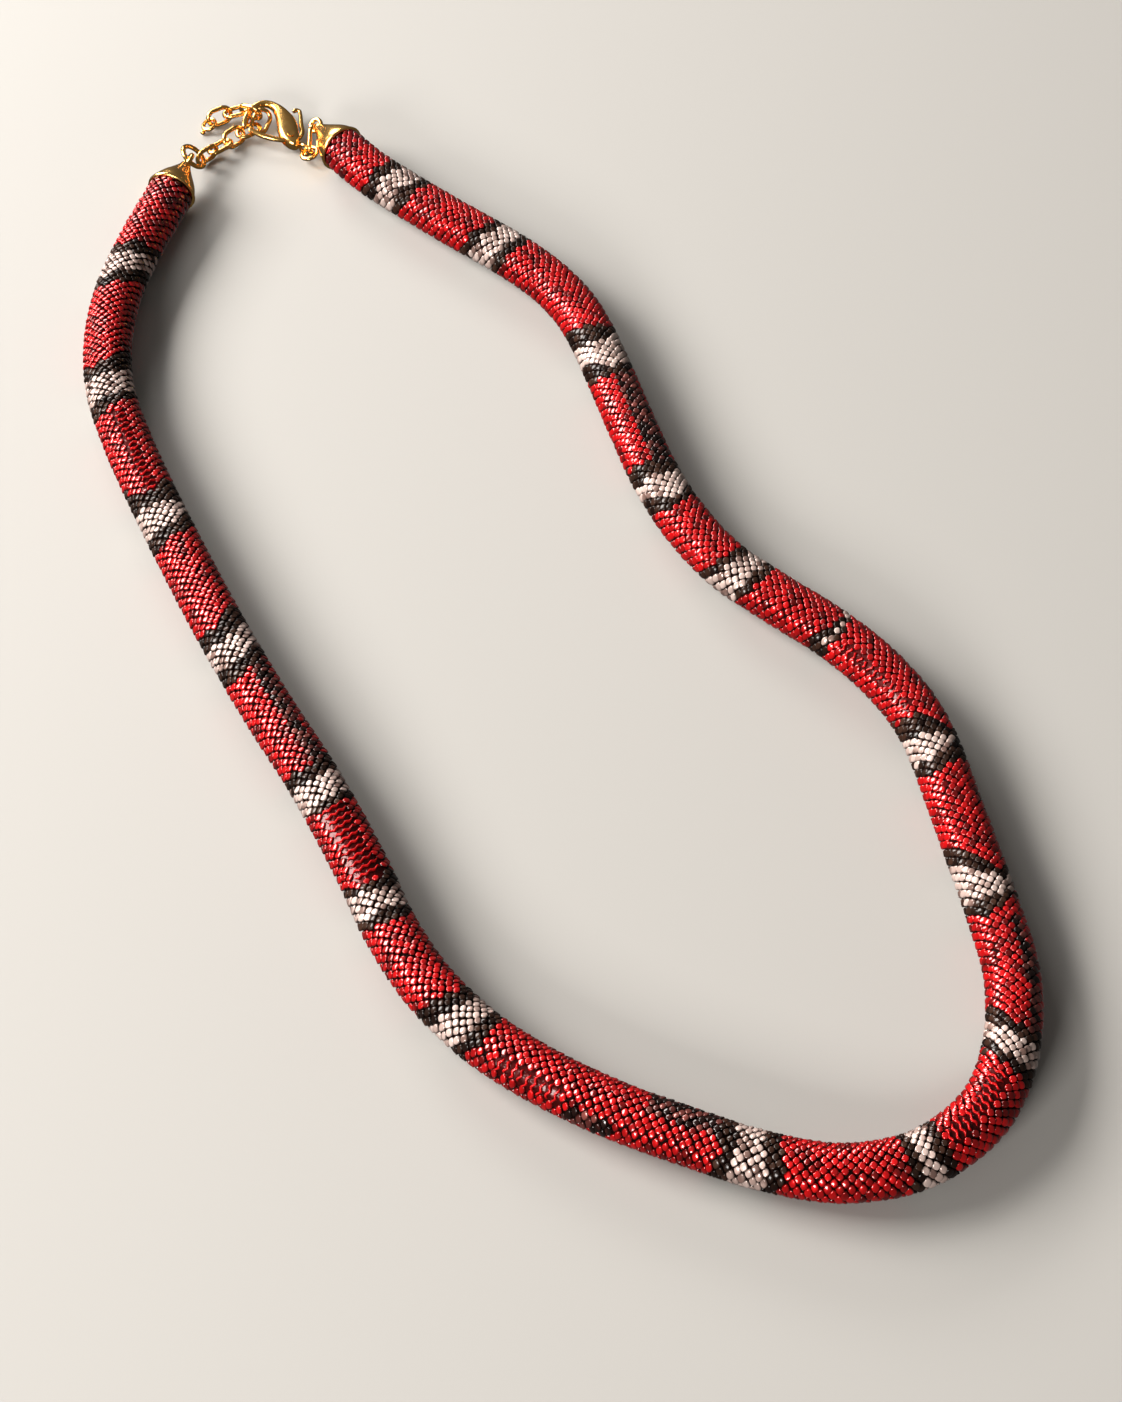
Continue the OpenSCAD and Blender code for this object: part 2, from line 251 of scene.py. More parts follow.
# The bands, each charted in millimetres along the rope on its inner side, its middle and its
# outer side: the first black edge, the start and the end of the white, the last black edge.
bands = [
    ((14.5, 17, 20.5, 23.5), (14.5, 17, 21.5, 24), (16.5, 18.5, 24.5, 27)),
    ((40.5, 45.5, 50.5, 52), (42.5, 45, 50, 52.5), (43.5, 45.5, 51, 54)),
    ((71.5, 76, 79.5, 82.5), (72, 74.5, 80, 82), (70, 74.5, 80, 83)),
    ((99.5, 103.5, 108, 110.5), (101.5, 104, 109, 111), (101, 104, 108, 111.5)),
    ((131, 133.5, 137.5, 139), (131, 133, 137, 138.5), (130.5, 133, 137.5, 138.5)),
    ((152.5, 154.5, 158.5, 160.5), (152.5, 153.5, 157, 159), (152.5, 153.5, 158, 159.5)),
    ((175.5, 177.5, 181.5, 183.5), (173.5, 176, 180.5, 182.5), (173.5, 175.5, 180, 182)),
    ((217.5, 220, 224, 226), (218.5, 220, 225, 227), (218, 220.5, 225, 227)),
    ((243.5, 245, 248, 249.5), (243.5, 245, 248, 250), (243.5, 245, 248, 250)),
    ((266, 267.5, 271.5, 273.5), (265.5, 267, 270.5, 272.5), (264, 266, 269.5, 271)),
    ((289.5, 292, 298.5, 301), (290.5, 293, 296.5, 299), (291.5, 292.5, 295, 296)),
    ((314, 316, 321.5, 324.5), (315, 317, 321, 325), (315, 318.5, 319, 320.5)),
    ((342.5, 343.5, 344, 345.5), (342.5, 343, 343.5, 344.5), (342.5, 343, 343.5, 344)),
    ((358.5, 359.5, 364, 366), (358, 360, 364, 365.5), (356.5, 358.5, 362, 364)),
    ((378, 381, 384, 387.5), (377.5, 379, 385, 388), (377.5, 379.5, 383.5, 385)),
    ((407, 410.5, 415, 419), (407, 408.5, 414.5, 418.5), (406.5, 408, 414.5, 416.5)),
    ((440.5, 442, 446.5, 448.5), (439.5, 441.5, 446, 448), (438.5, 440.5, 444, 446)),
    ((462, 464, 468.5, 471), (462, 464.5, 468.5, 471), (460.5, 462.5, 467, 469.5)),
]
# Blotches of grey scales: start and end along the rope, then the least and the greatest share of
# the way from the rope's outer side (-1) to its inner side (1).
blotches = [
    (110.5, 131, 0.38, 0.9),
    (197, 204, -0.95, -0.25),
    (207.5, 218, 0.48, 1.0),
    (270, 288.5, -0.77, -0.32),
    (385, 416, -0.87, -0.2),
]
# Places where the red scales flatten into a low ground under thin ribs, given in the same way. The
# ground is painted dark as shade.
ribbed = [
    (53.5, 72, 0.05, 0.55),
    (138.5, 152, -0.35, 0.75),
    (186, 196, -0.6, 0.05),
    (250.5, 264.5, 0.1, 0.72),
    (326, 341, 0.05, 0.4),
]
RED, WHITE, BLACK, GREY, RIB, WINE = range(6)
seen_from = np.array([0, -math.cos(view_angle), math.sin(view_angle)])
_, scale_out, scale_way = rope_place(scale_along, scale_turn, np.full(scale_count, rope_radius))
across = np.cross(seen_from, scale_way)
across /= np.linalg.norm(across, axis=1)[:, None]
share = np.sum(scale_out * across, axis=1)
facing = np.sum(scale_out * seen_from, axis=1)
slope = np.sum(scale_way * seen_from, axis=1)
# The bands cross the rope as seen from the front above, and go on round underneath.
level = scale_along - rope_radius * np.abs(facing) * slope / (1 - slope ** 2)
# Next to the caps the red turns to a dark wine.
wine_reach = 6.5
by_a_cap = (scale_along < wine_reach) | (scale_along > rope_length - wine_reach)
scale_kind = np.where(by_a_cap, WINE, RED)
# The blotches go a little way round to the underside, and the ribs don't.
for kind, patches, least_facing in ((GREY, blotches, -0.3), (RIB, ribbed, 0)):
    for start, end, low, high in patches:
        in_patch = (level > start) & (level < end) & (share > low) & (share < high)
        scale_kind[in_patch & (facing > least_facing)] = kind
# The three parts of a band are charted at these shares of the way from the inner side outwards.
charted_at = (-0.8, 0, 0.8)
for band in bands:
    edge_in, white_in, white_out, edge_out = (
        np.interp(-share, charted_at, [part[k] for part in band]) for k in range(4))
    scale_kind[(level > edge_in) & (level < edge_out)] = BLACK
    scale_kind[(level > white_in) & (level < white_out)] = WHITE
in_ribs = scale_kind == RIB

# One scale is a flat-topped dome on a rounded lozenge: a crown point, three rings and a skirt, each
# with its share of the lozenge and its share of the height.
rings = [(0.0, 1.0), (0.58, 0.98), (0.76, 0.88), (0.92, 0.5), (1.0, -0.15)]
outline_power = 1.55
outline_sides = 12
outline_angle = np.arange(outline_sides) * 2 * np.pi / outline_sides
outline_c, outline_s = np.cos(outline_angle), np.sin(outline_angle)
outline_r = (np.abs(outline_c) ** outline_power
             + np.abs(outline_s) ** outline_power) ** (-1 / outline_power)
shape_u, shape_v, shape_h = [0.0], [0.0], [rings[0][1]]
for reach, lift in rings[1:]:
    shape_u += list(outline_c * outline_r * reach)
    shape_v += list(outline_s * outline_r * reach)
    shape_h += [lift] * outline_sides
shape_u, shape_v, shape_h = map(np.array, (shape_u, shape_v, shape_h))
around = np.arange(outline_sides)
around_next = (around + 1) % outline_sides
scale_faces = [(0, 1 + b, 1 + a) for a, b in zip(around, around_next)]
for k in range(len(rings) - 2):
    low, high = 1 + k * outline_sides, 1 + (k + 1) * outline_sides
    for a, b in zip(around, around_next):
        scale_faces += [(low + a, high + b, high + a), (low + a, low + b, high + b)]
scale_faces = np.array(scale_faces)

# Under the ribs the scales are broad flat plates. The others vary in size, place and tilt.
plate_spread, plate_rise = 1.3, 0.15
length_share, width_share = 0.95, 0.98
size = dice.uniform(0.79, 0.91, scale_count)
half_along = np.where(in_ribs, plate_spread, length_share * size) * row_step
half_across = np.where(in_ribs, plate_spread, width_share * size) * scale_pitch / 2
rise = np.where(in_ribs, plate_rise, 1)
slip_along, slip_round = 0.07, 0.035
scale_along = scale_along + dice.uniform(-slip_along, slip_along, scale_count)
scale_turn = scale_turn + dice.uniform(-slip_round, slip_round, scale_count)
tail_lift, side_lift, uneven = 0.1, 0.1, 0.09
lift_along = np.where(in_ribs, 0, tail_lift + dice.uniform(-uneven, uneven, scale_count))
lift_across = np.where(in_ribs, 0, dice.uniform(-uneven, uneven, scale_count)
                       - side_lift * np.cos(scale_turn))
# The scales start just over the core and end just under the rope's outer surface, with room for
# their tilt. Their sides stand up a little, as they bend less than the rope, and the last rows run
# a little way under the caps' rims.
over_core, under_surface, tilt_room = 0.03, 0.07, 0.2
scale_seat = core_radius + over_core
scale_top = rope_radius - under_surface
dome = scale_height - tilt_room
flatness = 0.08
under_rim = 0.22


def mark_crown(piece, height):
    """Keeps each point's share of the height, by which the paint darkens the low parts as painted
    shade.
    """
    crown = piece.data.attributes.new("crown", "FLOAT", "POINT")
    crown.data.foreach_set("value", height.ravel().astype(np.float32))


def scales_piece(name, chosen, material):
    """One mesh of all the chosen scales."""
    along = scale_along[chosen][:, None] + shape_u * half_along[chosen][:, None]
    along = np.clip(along, cap_reach - under_rim, rope_length - cap_reach + under_rim)
    turn = scale_turn[chosen][:, None] + shape_v * half_across[chosen][:, None]
    tilt = (lift_along[chosen][:, None] * shape_u + lift_across[chosen][:, None] * shape_v
            + flatness * shape_v ** 2)
    height = shape_h * rise[chosen][:, None]
    radius = np.minimum(scale_seat + height * dome + np.where(height > 0, tilt, 0), scale_top)
    points = rope_place(along, turn, radius)[0].reshape(-1, 3)
    first = np.arange(int(chosen.sum()))[:, None, None] * len(shape_u)
    faces = (first + scale_faces[None]).reshape(-1, 3)
    piece = mesh_piece(name, points, faces, material, "necklace", ["scaled_rope"])
    mark_crown(piece, height)


# The lacquer that every scale and rib wears: a tone of its own, which gathers in dark patches,
# painted shade that darkens each scale towards its low edge, and a faint grain in the gloss.
lacquer = bpy.data.node_groups.new("scale lacquer", "ShaderNodeTree")
for way, kind, sockets in (
        ("INPUT", "NodeSocketFloat", ("Own Tone", "Crown", "Patchiness", "Roughness")),
        ("INPUT", "NodeSocketColor", ("Patch", "Dark", "Light", "Groove Shade")),
        ("OUTPUT", "NodeSocketColor", ("Color",)),
        ("OUTPUT", "NodeSocketFloat", ("Roughness", "Grain"))):
    for socket in sockets:
        lacquer.interface.new_socket(name=socket, in_out=way, socket_type=kind)
film_nodes, film_links = lacquer.nodes, lacquer.links
given = film_nodes.new("NodeGroupInput")
result = film_nodes.new("NodeGroupOutput")
place = film_nodes.new("ShaderNodeTexCoord")
cloud = film_nodes.new("ShaderNodeTexNoise")
cloud.inputs["Scale"].default_value = 260
tone = film_nodes.new("ShaderNodeMix")
tone.inputs["Factor"].default_value = 0.5
dark_from = film_nodes.new("ShaderNodeMath")
dark_from.operation = "ADD"
dark_from.inputs[1].default_value = 0.06
to_dark = film_nodes.new("ShaderNodeMapRange")
to_light = film_nodes.new("ShaderNodeMapRange")
to_light.inputs["From Max"].default_value = 0.85
# Painted shade: as the height share falls, the colour goes over to the groove shade colour.
out_of_groove_shade = film_nodes.new("ShaderNodeMapRange")
out_of_groove_shade.inputs["From Min"].default_value = 0.3
out_of_groove_shade.inputs["From Max"].default_value = 0.86
film_links.new(place.outputs["Object"], cloud.inputs["Vector"])
film_links.new(cloud.outputs["Fac"], tone.inputs["A"])
film_links.new(given.outputs["Own Tone"], tone.inputs["B"])
film_links.new(given.outputs["Patchiness"], dark_from.inputs[0])
film_links.new(tone.outputs["Result"], to_dark.inputs["Value"])
film_links.new(given.outputs["Patchiness"], to_dark.inputs["From Min"])
film_links.new(dark_from.outputs["Value"], to_dark.inputs["From Max"])
film_links.new(tone.outputs["Result"], to_light.inputs["Value"])
film_links.new(dark_from.outputs["Value"], to_light.inputs["From Min"])
film_links.new(given.outputs["Crown"], out_of_groove_shade.inputs["Value"])


def colour_mix(step, under, over):
    """The colour that goes from one to the other by a Map Range node's result."""
    mix = film_nodes.new("ShaderNodeMix")
    mix.data_type = "RGBA"
    film_links.new(step.outputs["Result"], mix.inputs["Factor"])
    film_links.new(under, mix.inputs["A"])
    film_links.new(over, mix.inputs["B"])
    return mix.outputs["Result"]


tinted = colour_mix(to_dark, given.outputs["Patch"], given.outputs["Dark"])
tinted = colour_mix(to_light, tinted, given.outputs["Light"])
tinted = colour_mix(out_of_groove_shade, given.outputs["Groove Shade"], tinted)
film_links.new(tinted, result.inputs["Color"])
grain = film_nodes.new("ShaderNodeTexNoise")
grain.inputs["Scale"].default_value = 2600
uneven_gloss = film_nodes.new("ShaderNodeMapRange")
uneven_gloss.inputs["To Min"].default_value = -0.08
uneven_gloss.inputs["To Max"].default_value = 0.08
gloss = film_nodes.new("ShaderNodeMath")
gloss.operation = "ADD"
film_links.new(place.outputs["Object"], grain.inputs["Vector"])
film_links.new(grain.outputs["Fac"], uneven_gloss.inputs["Value"])
film_links.new(uneven_gloss.outputs["Result"], gloss.inputs[0])
film_links.new(given.outputs["Roughness"], gloss.inputs[1])
film_links.new(gloss.outputs["Value"], result.inputs["Roughness"])
film_links.new(grain.outputs["Fac"], result.inputs["Grain"])


def scale_paint(name, patchiness, patch, dark, light, groove_shade, foil, roughness, coat):
    """A lacquer in its own colours, over foil, under a clear coat."""
    paint = bpy.data.materials.new(name)
    paint.use_nodes = True
    nodes, links = paint.node_tree.nodes, paint.node_tree.links
    shader = nodes["Principled BSDF"]
    shader.inputs["Coat Weight"].default_value = coat
    shader.inputs["Coat Roughness"].default_value = 0.06
    shader.inputs["Coat IOR"].default_value = 1.55
    shader.inputs["Specular IOR Level"].default_value = 0.1
    shader.inputs["Metallic"].default_value = foil
    film = nodes.new("ShaderNodeGroup")
    film.node_tree = lacquer
    film.inputs["Patchiness"].default_value = patchiness
    film.inputs["Roughness"].default_value = roughness
    for socket, colour in (("Patch", patch), ("Dark", dark), ("Light", light), ("Groove Shade", groove_shade)):
        film.inputs[socket].default_value = (*colour, 1)
    one_scale = nodes.new("ShaderNodeNewGeometry")
    crown = nodes.new("ShaderNodeAttribute")
    crown.attribute_name = "crown"
    bump = nodes.new("ShaderNodeBump")
    bump.inputs["Strength"].default_value = 0.12
    bump.inputs["Distance"].default_value = 0.0001
    links.new(one_scale.outputs["Random Per Island"], film.inputs["Own Tone"])
    links.new(crown.outputs["Fac"], film.inputs["Crown"])
    links.new(film.outputs["Color"], shader.inputs["Base Color"])
    links.new(film.outputs["Roughness"], shader.inputs["Roughness"])
    links.new(film.outputs["Grain"], bump.inputs["Height"])
    links.new(bump.outputs["Normal"], shader.inputs["Normal"])
    return paint


# Each paint's last colour is the painted shade in the grooves between the scales.
red_paint = scale_paint(
    "red scale", patchiness=0.27, patch=(0.14, 0.001, 0.001), dark=(0.36, 0.002, 0.003),
    light=(0.74, 0.005, 0.007), groove_shade=(0.012, 0.0004, 0.0004), foil=0.4, roughness=0.32, coat=0.9)
# A lighter red than the scales', as painted highlight on the rib crests; the flat ground under the
# ribs gets the groove colour, as painted shade.
rib_paint = scale_paint(
    "red rib with painted light and shade", patchiness=0.3, patch=(0.40, 0.003, 0.004), dark=(0.50, 0.005, 0.006),
    light=(0.75, 0.010, 0.012), groove_shade=(0.06, 0.0012, 0.0012), foil=0.4, roughness=0.36, coat=0.3)
white_paint = scale_paint(
    "white scale", patchiness=0.3, patch=(0.20, 0.12, 0.10), dark=(0.44, 0.31, 0.27),
    light=(0.78, 0.61, 0.55), groove_shade=(0.012, 0.006, 0.004), foil=0.2, roughness=0.32, coat=0.9)
black_paint = scale_paint(
    "black scale", patchiness=0.3, patch=(0.008, 0.003, 0.002), dark=(0.012, 0.005, 0.003),
    light=(0.05, 0.022, 0.014), groove_shade=(0.003, 0.0015, 0.001), foil=0, roughness=0.3, coat=0.3)
grey_paint = scale_paint(
    "grey scale", patchiness=0.42, patch=(0.012, 0.003, 0.002), dark=(0.07, 0.014, 0.012),
    light=(0.30, 0.08, 0.065), groove_shade=(0.005, 0.002, 0.0015), foil=0.3, roughness=0.3, coat=0.7)
wine_paint = scale_paint(
    "wine red scale", patchiness=0.33, patch=(0.08, 0.001, 0.002), dark=(0.24, 0.002, 0.004),
    light=(0.62, 0.005, 0.009), groove_shade=(0.010, 0.0004, 0.0004), foil=0.4, roughness=0.3, coat=1.0)
third = rope_length / 3
for name, first, last in (("left", 0, third), ("front", third, 2 * third),
                          ("right", 2 * third, math.inf)):
    run = (scale_along >= first) & (scale_along < last)
    scales_piece("scales_red_" + name, run & (scale_kind == RED), red_paint)
scales_piece("scales_white", scale_kind == WHITE, white_paint)
scales_piece("scales_black", scale_kind == BLACK, black_paint)
scales_piece("scales_grey", scale_kind == GREY, grey_paint)
scales_piece("scales_wine", scale_kind == WINE, wine_paint)
scales_piece("scales_flat", in_ribs, rib_paint)

# Ribs.
# Thin wavy beads of red lacquer that run across the rope over the flat scales, one every
# millimetre or so, thinner at both ends. The flat scales between them are painted dark as shade,
# and the ribs' lighter red, brightest on the crests, is painted highlight.
# In millimetres: the step from rib to rib, half a rib's width and its height, how far the first and
# the last rib keep from the ends of their stretch, and how far a rib waves to each side.
rib_step, rib_half, rib_height = 1.1, 0.25, 0.46
first_rib, last_rib = 0.4, 0.3
rib_wave = 0.14
# In shares: the waves for each scale crossed, a rib's width at its tips and how fast it grows from
# there, and how uneven the ribs' ends are.
waves_a_scale = 1.5
rib_tip, rib_growth = 0.3, 5
ragged_by = 0.08
# A rib's profile: the share of its half width, then of its height.
rib_profile = np.array([(-1, -0.1), (-0.7, 0.7), (0, 1), (0.7, 0.7), (1, -0.1)])
rib_spots, lanes = 26, len(rib_profile)
rib_share = np.linspace(0, 1, rib_spots)
taper = np.minimum(1, rib_tip + rib_growth * np.minimum(rib_share, 1 - rib_share))[:, None]
spot, lane = np.meshgrid(np.arange(rib_spots - 1), np.arange(lanes - 1), indexing="ij")
rib_quads = np.stack([spot * lanes + lane, (spot + 1) * lanes + lane,
                      (spot + 1) * lanes + lane + 1, spot * lanes + lane + 1], -1).reshape(-1, 4)
fan = np.linspace(0, np.pi, 181)
rib_points, rib_faces = [], []
for start, end, low, high in ribbed:
    for count, rib_level in enumerate(np.arange(start + first_rib, end - last_rib, rib_step)):
        # How far round the rope this rib reaches, with a ragged end on each side.
        _, fan_out, fan_way = rope_place(np.full(fan.size, rib_level), fan,
                                         np.full(fan.size, rope_radius))
        fan_across = np.cross(seen_from, fan_way[0])
        fan_share = fan_out @ (fan_across / np.linalg.norm(fan_across))
        fan_facing, fan_slope = fan_out @ seen_from, fan_way[0] @ seen_from
        ragged = dice.uniform(-ragged_by, ragged_by, 2)
        held = fan[(fan_share > low + ragged[0]) & (fan_share < high + ragged[1])
                   & (fan_facing > 0)]
        rib_turn = np.linspace(held[0], held[-1], rib_spots)
        rib_facing = np.interp(rib_turn, fan, fan_facing)
        lean = rope_radius * rib_facing * fan_slope / (1 - fan_slope ** 2)
        wave = rib_wave * np.sin(rib_turn * scales_round * waves_a_scale + math.pi * count)
        rib_along = (rib_level + lean + wave)[:, None] + rib_profile[:, 0] * rib_half * taper
        rib_reach = scale_seat + rib_profile[:, 1] * rib_height * taper
        rib_skin = rope_place(rib_along, np.repeat(rib_turn[:, None], lanes, 1), rib_reach)[0]
        rib_faces.append(rib_quads + len(rib_points) * rib_spots * lanes)
        rib_points.append(rib_skin.reshape(-1, 3))
ribs = mesh_piece("ribs", np.vstack(rib_points), np.vstack(rib_faces), rib_paint, "necklace",
                  ["scaled_rope"])
mark_crown(ribs, np.tile(rib_profile[:, 1], rib_spots * len(rib_points)))

# End caps.
# Spun brass bells with a rolled lip, plated in polished gold and glued over the rope's two ends. A
# small eye is soldered on each tip.
gold_paint = bpy.data.materials.new("polished gold")
gold_paint.use_nodes = True
gold_nodes, gold_links = gold_paint.node_tree.nodes, gold_paint.node_tree.links
gold_shader = gold_nodes["Principled BSDF"]
gold_shader.inputs["Metallic"].default_value = 1.0
gold_place = gold_nodes.new("ShaderNodeTexCoord")
gold_noise = gold_nodes.new("ShaderNodeTexNoise")
gold_noise.inputs["Scale"].default_value = 900
gold_tone = gold_nodes.new("ShaderNodeValToRGB")
gold_tone.color_ramp.elements[0].color = (0.93, 0.50, 0.13, 1)
gold_tone.color_ramp.elements[1].color = (1.0, 0.62, 0.21, 1)
gold_gloss = gold_nodes.new("ShaderNodeMapRange")
gold_gloss.inputs["To Min"].default_value = 0.16
gold_gloss.inputs["To Max"].default_value = 0.28
gold_links.new(gold_place.outputs["Object"], gold_noise.inputs["Vector"])
gold_links.new(gold_noise.outputs["Fac"], gold_tone.inputs["Fac"])
gold_links.new(gold_noise.outputs["Fac"], gold_gloss.inputs["Value"])
gold_links.new(gold_tone.outputs["Color"], gold_shader.inputs["Base Color"])
gold_links.new(gold_gloss.outputs["Result"], gold_shader.inputs["Roughness"])

# The bell's outline from the inside out: distance from the rim, radius.
bell = np.array([
    (1.9, 0.01), (1.9, 3.2), (1.8, 3.58), (0.6, 3.66), (0.05, 3.78), (0, 3.95), (0.06, 4.16),
    (0.2, 4.27), (0.38, 4.29), (0.56, 4.22), (0.68, 4.08), (1.0, 3.98), (1.6, 3.8), (2.4, 3.46),
    (3.2, 3.04), (4.0, 2.56), (4.8, 2.08), (5.6, 1.63), (6.3, 1.25), (6.8, 1.02), (7.2, 0.9),
    (7.45, 0.7), (7.52, 0.01)])
bell_steps = 3
lathe_sides = 72
eye_radius = 1.1
wire_rings, wire_sides = 49, 20


def placed(points, place):
    """Points from a piece's own frame to the necklace's, by position and turns in degrees."""
    at, turns = place
    turn = Euler([math.radians(a) for a in turns]).to_matrix()
    return points @ np.array(turn).T + at + home


def torus_rings(radius, wire, place):
    """The rings of a closed eye bent from round wire."""
    around = np.linspace(0, 2 * np.pi, wire_rings)
    tube = np.arange(wire_sides)[::-1] * 2 * np.pi / wire_sides
    reach = radius + wire / 2 * np.cos(tube)[None]
    rows = np.stack([np.cos(around)[:, None] * reach, np.sin(around)[:, None] * reach,
                     np.repeat(wire / 2 * np.sin(tube)[None], len(around), 0)], -1)
    return placed(rows, place)


def joined(parts):
    """One mesh's points and faces from those of several parts."""
    points, faces, first = [], [], 0
    for part_points, part_faces in parts:
        points.append(part_points)
        faces.append(part_faces + first)
        first += len(part_points)
    return np.vstack(points), np.vstack(faces)


def cap_piece(name, node, at, heading, eye_out, eye_roll, eye_wire):
    """A bell that opens at a point and points along a heading, with its eye this far out."""
    turn = np.arange(lathe_sides) * 2 * np.pi / lathe_sides
    outline = smooth_route(bell, bell_steps)
    rows = np.stack([np.repeat(outline[:, :1], lathe_sides, 1), outline[:, 1:] * np.cos(turn),
                     outline[:, 1:] * np.sin(turn)], -1)
    shell = ring_sweep(placed(rows, (at, (0, 0, heading))))
    toward = np.array([math.cos(math.radians(heading)), math.sin(math.radians(heading)), 0])
    eye_place = (np.array(at) + eye_out * toward, (eye_roll, 0, heading))
    eye = ring_sweep(torus_rings(eye_radius, eye_wire, eye_place))
    points, faces = joined([shell, eye])
    mesh_piece(name, points, faces, gold_paint, "necklace", [node])


cap_piece("cap_left_bell", "cap_left", (-61.2, 80.2, 4.35),
          heading=74, eye_out=8.5, eye_roll=130, eye_wire=0.8)
cap_piece("cap_right_bell", "cap_right", (-31.9, 91.2, 4.35),
          heading=130, eye_out=7.9, eye_roll=138, eye_wire=0.75)

# Clasp body.
# A lobster clasp, cast in brass and plated: a rounded flat body that narrows into the hook, with
# the tail eye cast on. A slot through its middle takes the lever.
clasp_place = ((-40.7, 95.6, 1.6), (0, -7, 142))
# Centre line in the clasp's own frame, with half the width and half the thickness at each point.
casting = np.array([
    (-0.8, 0.1, 0, 0.2, 0.3), (-0.68, 0.1, 0, 0.62, 0.8), (-0.35, 0.1, 0, 0.95, 1.1),
    (0.1, 0.08, 0, 1.15, 1.25), (0.9, -0.05, 0, 1.45, 1.38), (2.3, -0.75, 0, 1.85, 1.45),
    (4.15, -2.3, 0, 1.8, 1.45), (6.0, -3.3, 0, 1.35, 1.32), (7.4, -3.8, 0, 0.98, 1.08),
    (8.6, -3.98, 0, 0.74, 0.84), (9.6, -3.8, 0, 0.66, 0.7), (10.4, -3.3, 0, 0.61, 0.62),
    (10.9, -2.5, 0, 0.58, 0.58), (11.1, -1.5, 0, 0.58, 0.58), (11.1, -0.4, 0, 0.58, 0.58),
    (10.8, 0.6, 0, 0.58, 0.58), (10.4, 1.5, 0, 0.57, 0.57), (9.9, 2.4, 0, 0.54, 0.54),
    (9.35, 3.05, 0, 0.48, 0.48), (9.14, 3.27, 0, 0.36, 0.36), (9.04, 3.38, 0, 0.08, 0.08)])
limb_steps, limb_sides = 4, 28


def limb_rings(stations, squareness):
    """Rings round a flat curve from rows of x, y, z, half width and half thickness."""
    fine = smooth_route(stations, limb_steps)
    way = np.gradient(fine[:, :3], axis=0)
    way /= np.linalg.norm(way, axis=1)[:, None]
    beside = np.cross([0, 0, 1], way)
    turn = np.arange(limb_sides) * 2 * np.pi / limb_sides
    c, s = np.cos(turn), np.sin(turn)
    c = np.sign(c) * np.abs(c) ** (2 / squareness)
    s = np.sign(s) * np.abs(s) ** (2 / squareness)
    return (fine[:, None, :3] + beside[:, None] * (fine[:, 3:4] * c)[..., None]
            + np.array([0, 0, 1.0]) * (fine[:, 4:5] * s)[..., None])


def closed_mesh(points, faces):
    """A mesh from points in millimetres and faces with any number of sides."""
    mesh = bpy.data.meshes.new("blank")
    mesh.from_pydata((points * mm).tolist(), [], [tuple(f) for f in faces])
    return mesh


casting_points, casting_faces = ring_sweep(
    placed(limb_rings(casting, squareness=2.5), clasp_place))
ends = [tuple(range(limb_sides))[::-1],
        tuple(range(len(casting_points) - limb_sides, len(casting_points)))]
blank = bpy.data.objects.new(
    "blank", closed_mesh(casting_points, [*casting_faces.tolist(), *ends]))
scene.collection.objects.link(blank)

# The slot's rooms, seen along the pin: for the lever's hub, for its gate and for its thumb arm.
slot_height = 1.3
pivot = (1.3, -0.2)
hub_room = 1.2
hub_sides = 32
hub_turn = np.arange(hub_sides) * 2 * np.pi / hub_sides
slot_rooms = [
    [(pivot[0] + hub_room * math.cos(a), pivot[1] + hub_room * math.sin(a)) for a in hub_turn],
    [(2.2, -0.9), (5.5, 0.7), (5.5, 3.4), (2.6, 2.7), (0.7, 0.8)],
    [(0.2, -0.2), (-0.9, -0.9), (-0.8, -3.4), (1.2, -3.4), (1.25, -2.2), (1.5, -1.3), (2, -0.8)]]
cutters = []
for room in slot_rooms:
    count = len(room)
    both = np.array([(x, y, z) for z in (-slot_height / 2, slot_height / 2) for x, y in room])
    walls = [(k, (k + 1) % count, count + (k + 1) % count, count + k) for k in range(count)]
    ends = [tuple(range(count))[::-1], tuple(range(count, 2 * count))]
    cutter = bpy.data.objects.new("cutter", closed_mesh(placed(both, clasp_place), walls + ends))
    scene.collection.objects.link(cutter)
    cut = blank.modifiers.new("slot", "BOOLEAN")
    cut.object, cut.operation, cut.solver = cutter, "DIFFERENCE", "EXACT"
    cutters.append(cutter)
slotted = bpy.data.meshes.new_from_object(
    blank.evaluated_get(bpy.context.evaluated_depsgraph_get()))
for spare in [blank, *cutters]:
    bpy.data.objects.remove(spare)

# The tail eye stands across the clasp, and is joined with the slotted body.
tail_back, tail_radius, tail_wire = 2.1, 1.0, 0.65
tail_at = placed(np.array([[-tail_back, 0, 0]]), clasp_place)[0] - home
tail_turn = (Euler([math.radians(a) for a in clasp_place[1]]).to_matrix()
             @ Euler((math.radians(90), 0, 0)).to_matrix()).to_euler()
tail_place = (tail_at, [math.degrees(a) for a in tail_turn])
tail_eye = torus_rings(tail_radius, tail_wire, tail_place)
tail_points, tail_faces = ring_sweep(tail_eye)
clasp_body = mesh_piece("clasp_casting", tail_points, tail_faces, gold_paint, "necklace",
                        ["clasp_body"])
whole = bmesh.new()
whole.from_mesh(clasp_body.data)
whole.from_mesh(slotted)
bmesh.ops.recalc_face_normals(whole, faces=whole.faces)
whole.to_mesh(clasp_body.data)
whole.free()
clasp_body.data.shade_smooth()
# Only edges sharper than this stay sharp.
crease = math.radians(40)
clasp_body.data.set_sharp_from_angle(angle=crease)

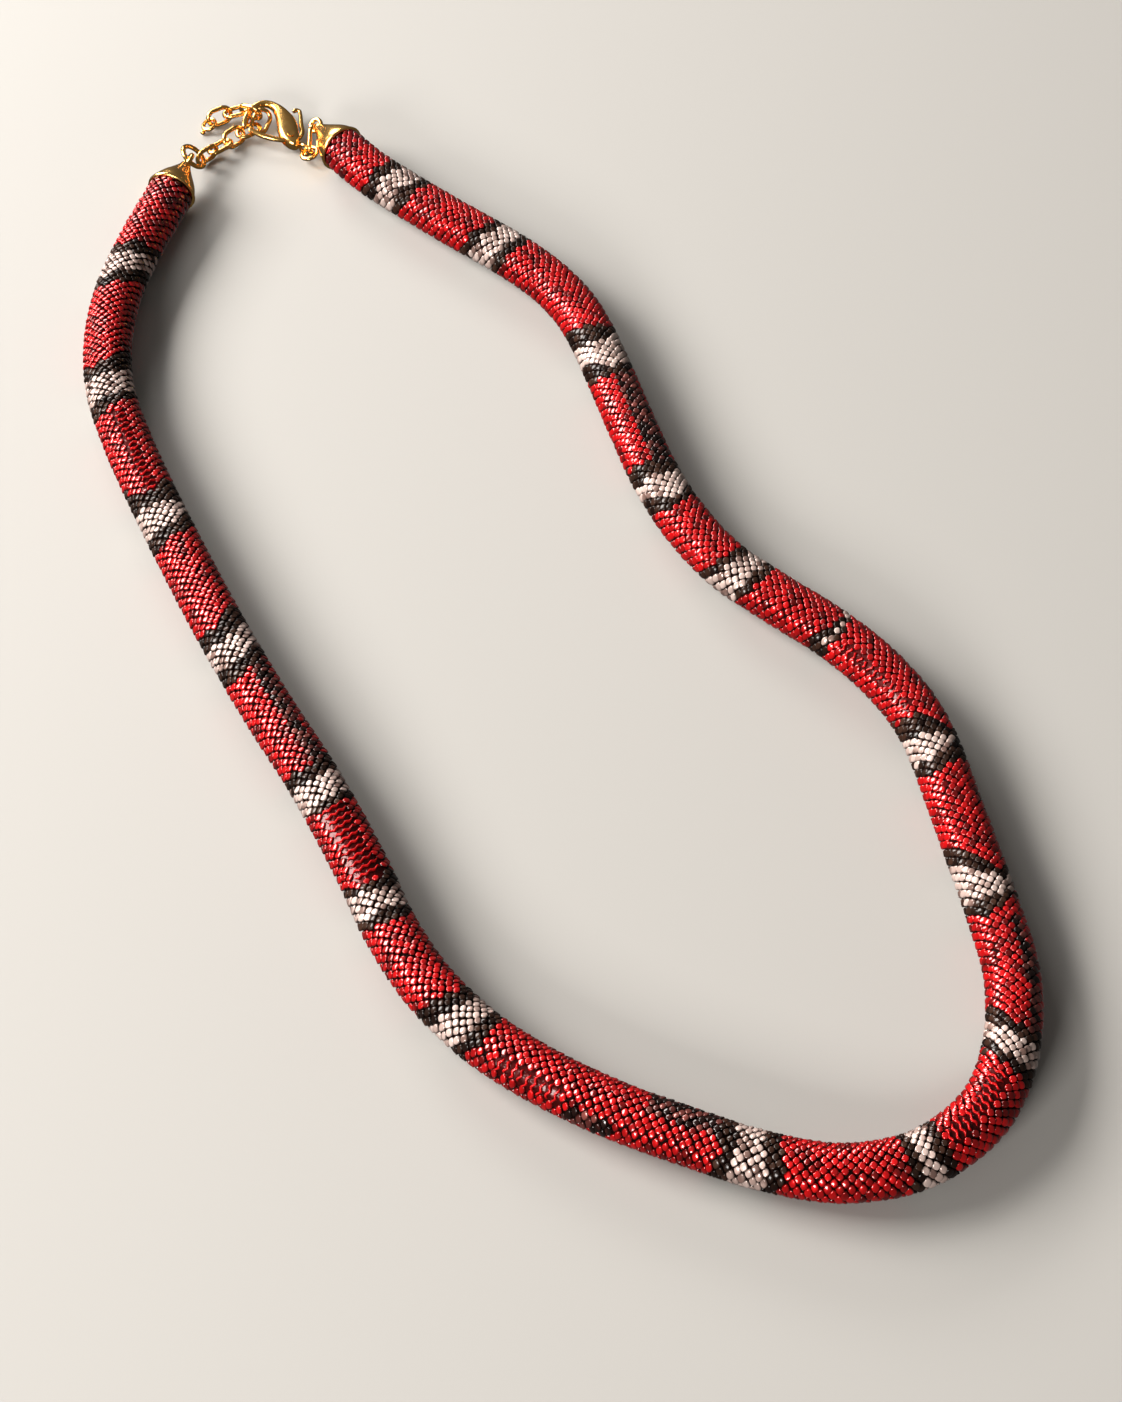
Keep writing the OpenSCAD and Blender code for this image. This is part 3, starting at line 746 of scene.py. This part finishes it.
# Clasp lever.
# The sprung gate and its thumb arm, one casting in the same plated brass. Its hub turns on the pin
# in the body's slot.
gate = np.array([
    (1.3, -0.2, 0, 0.48, 0.48), (2, 0.6, 0, 0.48, 0.48), (2.8, 1.3, 0, 0.48, 0.48),
    (3.5, 1.75, 0, 0.48, 0.48), (4.2, 2.1, 0, 0.48, 0.48), (5.2, 2.5, 0, 0.48, 0.48),
    (6.2, 2.8, 0, 0.46, 0.46), (7.2, 3, 0, 0.44, 0.44), (8, 3.1, 0, 0.42, 0.42),
    (8.25, 3.12, 0, 0.3, 0.3), (8.36, 3.13, 0, 0.06, 0.06)])
thumb = np.array([
    (1.3, -0.2, 0, 0.4, 0.42), (0.6, -1, 0, 0.4, 0.42), (0.5, -1.9, 0, 0.4, 0.42),
    (0.9, -2.8, 0, 0.42, 0.42), (1.6, -3.5, 0, 0.42, 0.42), (2.3, -4.1, 0, 0.41, 0.42),
    (3.2, -5, 0, 0.38, 0.4), (4, -5.8, 0, 0.36, 0.38), (4.6, -6.25, 0, 0.36, 0.38),
    (5.15, -6.15, 0, 0.36, 0.38), (5.3, -5.7, 0, 0.38, 0.4), (5.25, -5.42, 0, 0.26, 0.28),
    (5.23, -5.34, 0, 0.06, 0.06)])
# The hub's outline: radius, height.
hub = [(0.01, -0.55), (0.82, -0.55), (0.97, -0.44), (0.97, 0.44), (0.82, 0.55), (0.01, 0.55)]
hub_rings = np.array([*pivot, 0]) + np.stack([np.stack(
    [r * np.cos(hub_turn), r * np.sin(hub_turn), np.full(hub_sides, z)], -1) for r, z in hub])
lever_points, lever_faces = joined([ring_sweep(placed(part, clasp_place)) for part in (
    limb_rings(gate, squareness=2.1), limb_rings(thumb, squareness=2.1), hub_rings)])
lever = mesh_piece("clasp_gate", lever_points, lever_faces, gold_paint, "lever", ["clasp_lever"])
lever.data.set_sharp_from_angle(angle=crease)

# Rings, chain and pin.
# Jump rings and cable links bent from round brass wire, the ball on the last ring and the clasp's
# rivet, all plated in the same gold. Their CAD shapes stay.
replaced = ("scaled_rope", "cap_left", "cap_right", "clasp_body", "clasp_lever")
for name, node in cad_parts.items():
    if name not in replaced:
        node.data.materials.clear()
        node.data.materials.append(gold_paint)
